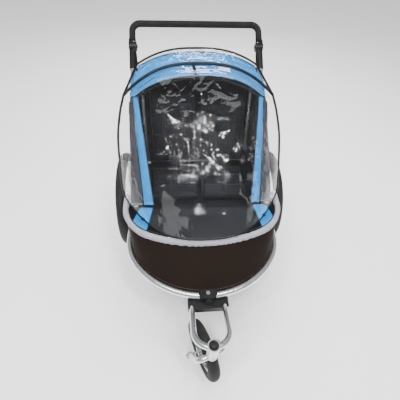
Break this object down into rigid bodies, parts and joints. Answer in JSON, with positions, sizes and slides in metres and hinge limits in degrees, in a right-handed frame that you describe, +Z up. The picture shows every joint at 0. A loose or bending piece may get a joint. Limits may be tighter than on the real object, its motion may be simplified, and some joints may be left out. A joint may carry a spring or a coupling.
{
  "type": "child bicycle trailer",
  "caption": "Covered child trailer with a folding frame, spoked side wheels, a swivelling front wheel, a push handle and a clear rain cover.",
  "frame": {"origin": "on the floor, at the middle of the trailer's overall length and width", "axes": "+Z up, -Y is the direction of travel, +X is to the right of someone who looks at the front"},
  "size_m": [0.8496, 1.3529, 1.0029],
  "materials": {
    "silver_tube": "satin",
    "bracket": "semi-matte",
    "fasteners": "satin",
    "black_plastic": "satin",
    "tyre_rubber": "matte",
    "foam": "matte foam",
    "black_fabric": "woven",
    "charcoal_fabric": "woven",
    "blue_fabric": "woven",
    "dark_brown_fabric": "coated",
    "grey_binding": "gathered",
    "webbing": "webbing",
    "clear_pvc": "clear flexible sheet"
  },
  "bodies": {
    "chassis": {"bumper_bow": "silver_tube", "side_rails": "silver_tube", "cross_tubes": "silver_tube", "axle_beam": "bracket", "axle_brackets": "bracket", "side_axles": "fasteners", "hinge_brackets": "bracket", "hinge_pins": "fasteners", "tow_socket": "bracket", "tow_lock_pin": "fasteners", "floor_tray": "black_fabric", "front_apron": "dark_brown_fabric", "edge_band": "grey_binding", "seat_cushion": "black_fabric", "seat_back": "black_fabric", "harness_straps": "webbing", "harness_buckles": "black_plastic", "bumper_clamp": "black_plastic", "clamp_bolt": "fasteners", "arm_block": "black_plastic", "front_arm": "silver_tube", "headset_bushes": "black_plastic", "brake_hangers": "bracket", "hood_bow": "black_plastic", "canopy_roof": "blue_fabric", "side_panels": "charcoal_fabric", "opening_trim": "blue_fabric", "lower_front_panel": "black_fabric", "rear_panel": "black_fabric", "rain_cover_front": "clear_pvc", "rain_cover_top": "clear_pvc"},
    "left_wheel": {"left_tyre": "tyre_rubber", "left_rim": "silver_tube", "left_spokes": "fasteners", "left_hub": "black_plastic", "left_bearings": "fasteners"},
    "left_release": {"left_release_button": "black_plastic"},
    "right_wheel": {"right_tyre": "tyre_rubber", "right_rim": "silver_tube", "right_spokes": "fasteners", "right_hub": "black_plastic", "right_bearings": "fasteners"},
    "right_release": {"right_release_button": "black_plastic"},
    "castor": {"castor_fork": "silver_tube", "castor_steerer": "fasteners", "steerer_cap": "black_plastic", "front_axle": "fasteners"},
    "front_wheel": {"front_tyre": "tyre_rubber", "front_rim": "black_plastic", "front_bearings": "fasteners"},
    "front_frame": {"front_posts": "silver_tube", "handle_sleeves": "black_plastic", "handle_pins": "fasteners"},
    "rear_frame": {"rear_hoop": "silver_tube"},
    "handle": {"handle_knuckles": "black_plastic", "handle_tube": "silver_tube", "foam_grip": "foam"},
    "left_button": {"left_angle_button": "black_plastic"},
    "right_button": {"right_angle_button": "black_plastic"},
    "brake": {"brake_pedal": "bracket"}
  },
  "joints": [
    {"name": "left_wheel_spin", "type": "hinge", "parent": "chassis", "child": "left_wheel", "pos_m": [-0.386, 0.2113, 0.25], "axis": [1, 0, 0], "continuous": true},
    {"name": "right_wheel_spin", "type": "hinge", "parent": "chassis", "child": "right_wheel", "pos_m": [0.386, 0.2113, 0.25], "axis": [1, 0, 0], "continuous": true},
    {"name": "castor_swivel", "type": "hinge", "parent": "chassis", "child": "castor", "pos_m": [0, -0.6167, 0.33], "axis": [0, 0, 1], "continuous": true},
    {"name": "front_wheel_spin", "type": "hinge", "parent": "castor", "child": "front_wheel", "pos_m": [-0.02223, -0.55562, 0.127], "axis": [0.9397, 0.342, 0], "continuous": true},
    {"name": "frame_fold", "type": "hinge", "parent": "chassis", "child": "front_frame", "pos_m": [0, -0.1187, 0.345], "axis": [1, 0, 0], "range_deg": [-39, 0], "deforming": ["seat_cushion", "seat_back", "harness_straps", "harness_buckles", "hood_bow", "canopy_roof", "side_panels", "opening_trim", "lower_front_panel", "rear_panel", "rain_cover_front", "rain_cover_top"]},
    {"name": "rear_fold", "type": "hinge", "parent": "chassis", "child": "rear_frame", "pos_m": [0, 0.4013, 0.345], "axis": [1, 0, 0], "range_deg": [0, 101]},
    {"name": "handle_angle", "type": "hinge", "parent": "front_frame", "child": "handle", "pos_m": [0, 0.5743, 0.916], "axis": [1, 0, 0], "range_deg": [-60, 70]},
    {"name": "left_angle_press", "type": "slide", "parent": "front_frame", "child": "left_button", "axis": [-1, 0, 0], "range_m": [0, 0.003], "stiffness_N_per_m": 800, "springref_m": -0.002},
    {"name": "right_angle_press", "type": "slide", "parent": "front_frame", "child": "right_button", "axis": [1, 0, 0], "range_m": [0, 0.003], "stiffness_N_per_m": 800, "springref_m": -0.002},
    {"name": "left_release_press", "type": "slide", "parent": "chassis", "child": "left_release", "axis": [1, 0, 0], "range_m": [0, 0.0025], "stiffness_N_per_m": 800, "springref_m": -0.002},
    {"name": "right_release_press", "type": "slide", "parent": "chassis", "child": "right_release", "axis": [-1, 0, 0], "range_m": [0, 0.0025], "stiffness_N_per_m": 800, "springref_m": -0.002},
    {"name": "brake_press", "type": "hinge", "parent": "chassis", "child": "brake", "pos_m": [0, 0.3613, 0.278], "axis": [1, 0, 0], "range_deg": [-12, 0]}
  ],
  "couplings": [
    {"joint": "rear_fold", "follows": "frame_fold", "ratio": -2.5641}
  ]
}
